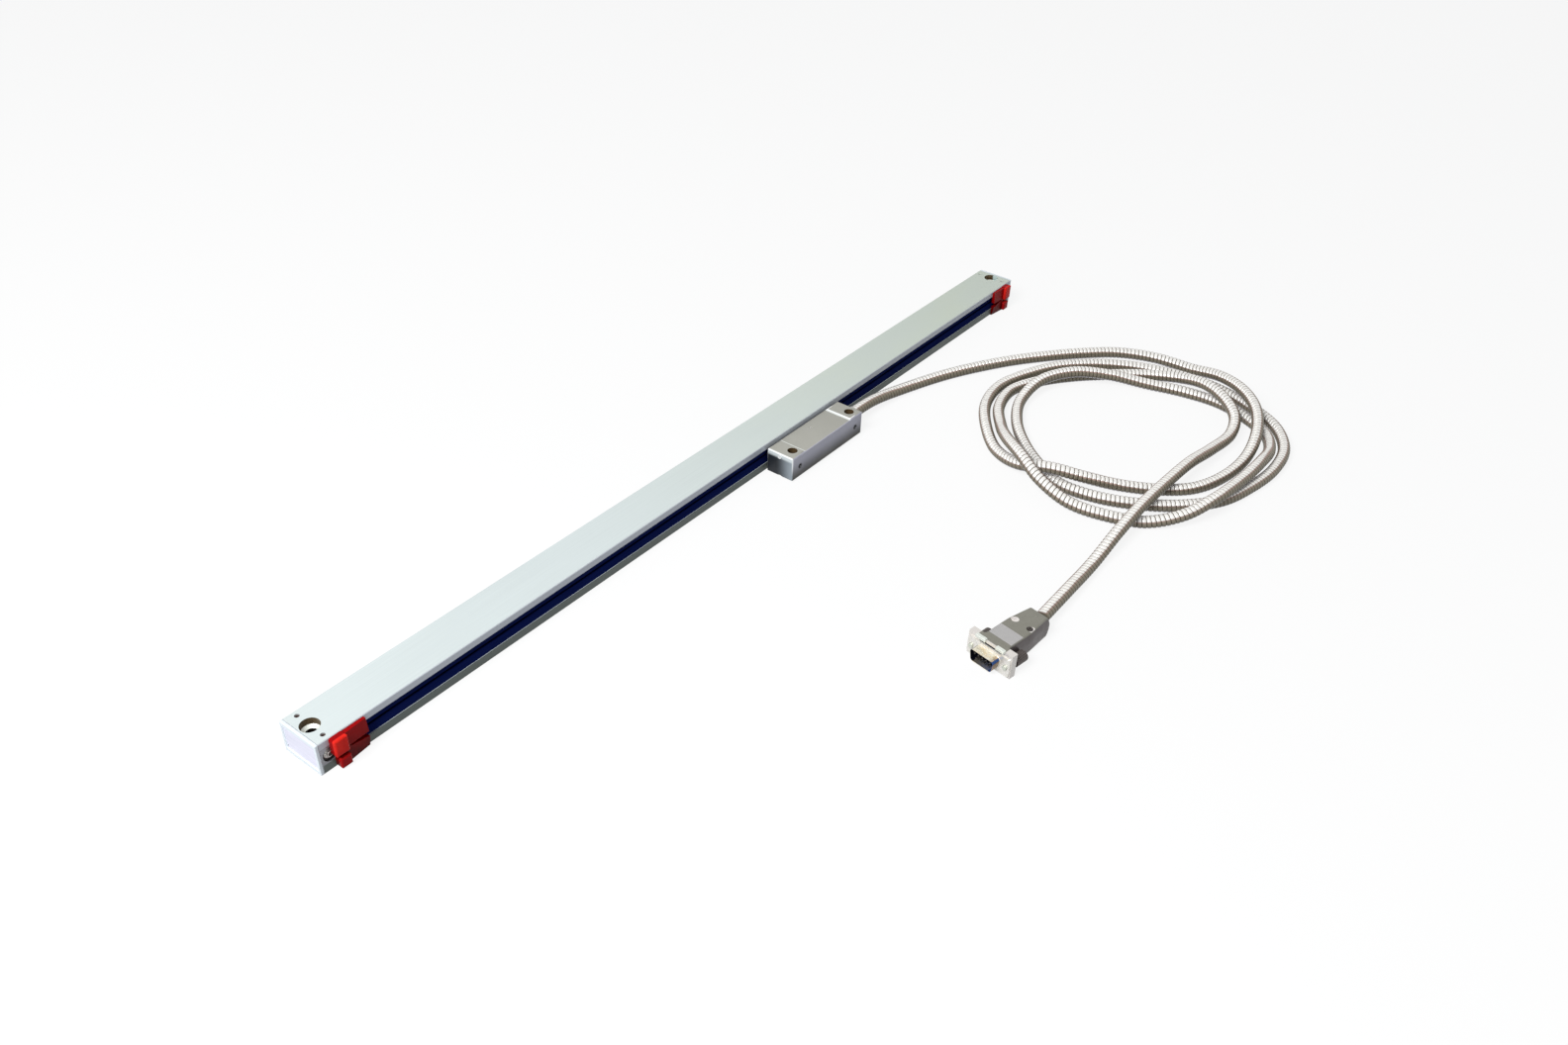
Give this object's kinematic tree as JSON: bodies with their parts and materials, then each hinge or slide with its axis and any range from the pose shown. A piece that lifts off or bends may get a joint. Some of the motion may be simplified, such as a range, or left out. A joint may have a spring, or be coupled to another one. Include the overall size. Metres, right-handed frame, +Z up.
{
  "type": "linear glass scale",
  "caption": "Sealed linear glass scale with a sliding reading head, red transport clips and an armoured cable that ends in a D-sub plug.",
  "frame": {"origin": "centre of the housing's bottom face, midway between the two ends", "axes": "+X along the scale towards the end where the cable leaves the head, -Y towards the reading head, +Z up"},
  "size_m": [0.695, 0.3068, 0.0232],
  "materials": {
    "housing_aluminium": "satin anodised",
    "end_metal": "satin, as machined",
    "cast_head": "satin grey lacquer on a casting",
    "steel": "satin",
    "dark_steel": "blackened",
    "red_plastic": "semi gloss",
    "lip_rubber": "smooth navy",
    "black_rubber": "matt",
    "glass": "clear with a ruled grating",
    "board": "solder mask green",
    "hose_steel": "bright wound metal hose",
    "hood_metal": "metallised grey",
    "shell_metal": "bright plated",
    "contact_gold": "gold plated",
    "insulator_plastic": "blue black"
  },
  "bodies": {
    "scale_unit": {"housing": "housing_aluminium", "end_plate_near": "housing_aluminium", "end_plate_far": "housing_aluminium", "end_gasket_near": "black_rubber", "end_gasket_far": "black_rubber", "end_block_near": "end_metal", "end_block_far": "end_metal", "end_block_screws": "dark_steel", "air_plug_near": "dark_steel", "air_plug_far": "dark_steel", "glass_scale": "glass", "glass_bed_upper": "black_rubber", "glass_bed_lower": "black_rubber", "seal_lip_upper": "lip_rubber", "seal_lip_lower": "lip_rubber", "clip_near": "red_plastic", "clip_far": "red_plastic"},
    "reading_head": {"head_body": "cast_head", "head_cover": "cast_head", "head_cover_screws": "dark_steel", "head_board": "board", "head_end_screw": "steel", "cable_ferrule": "steel", "cable_cores": "black_rubber", "coupling_blade": "steel", "carriage": "end_metal", "carriage_springs": "steel", "index_grating": "glass", "detector_board": "board", "lamp": "contact_gold", "roller_pins": "steel", "hose": "hose_steel", "plug_hood_lower": "hood_metal", "plug_hood_upper": "hood_metal", "plug_hood_screws": "dark_steel", "plug_shell": "shell_metal", "plug_insulator": "insulator_plastic", "plug_contacts": "contact_gold", "plug_clamp": "steel"},
    "face_roller_near": {"face_roller_near": "steel"},
    "face_roller_far": {"face_roller_far": "steel"},
    "edge_roller_near": {"edge_roller_near": "steel"},
    "edge_roller_far": {"edge_roller_far": "steel"},
    "jackscrew_left": {"jackscrew_left": "steel"},
    "jackscrew_right": {"jackscrew_right": "steel"}
  },
  "joints": [
    {"name": "head_slide", "type": "slide", "parent": "scale_unit", "child": "reading_head", "axis": [1, 0, 0], "range_m": [-0.3317, 0.2183]},
    {"name": "face_roller_near_turn", "type": "hinge", "parent": "reading_head", "child": "face_roller_near", "pos_m": [0.0287, 0.00332, 0.01485], "axis": [0, 1, 0], "continuous": true},
    {"name": "edge_roller_near_turn", "type": "hinge", "parent": "reading_head", "child": "edge_roller_near", "pos_m": [0.0367, -0.00235, 0.011], "axis": [0, 0, 1], "continuous": true},
    {"name": "face_roller_far_turn", "type": "hinge", "parent": "reading_head", "child": "face_roller_far", "pos_m": [0.0847, 0.00332, 0.01485], "axis": [0, 1, 0], "continuous": true},
    {"name": "edge_roller_far_turn", "type": "hinge", "parent": "reading_head", "child": "edge_roller_far", "pos_m": [0.0767, -0.00235, 0.011], "axis": [0, 0, 1], "continuous": true},
    {"name": "jackscrew_left_turn", "type": "hinge", "parent": "reading_head", "child": "jackscrew_left", "pos_m": [-0.05486, -0.22254, 0.0072], "axis": [0.9848, -0.1736, 0], "continuous": true},
    {"name": "jackscrew_right_turn", "type": "hinge", "parent": "reading_head", "child": "jackscrew_right", "pos_m": [-0.0592, -0.24716, 0.0072], "axis": [0.9848, -0.1736, 0], "continuous": true}
  ],
  "couplings": [
    {"joint": "face_roller_near_turn", "follows": "head_slide", "rad_per_m": 434.78},
    {"joint": "edge_roller_near_turn", "follows": "head_slide", "rad_per_m": 434.78},
    {"joint": "face_roller_far_turn", "follows": "head_slide", "rad_per_m": 434.78},
    {"joint": "edge_roller_far_turn", "follows": "head_slide", "rad_per_m": 434.78}
  ]
}
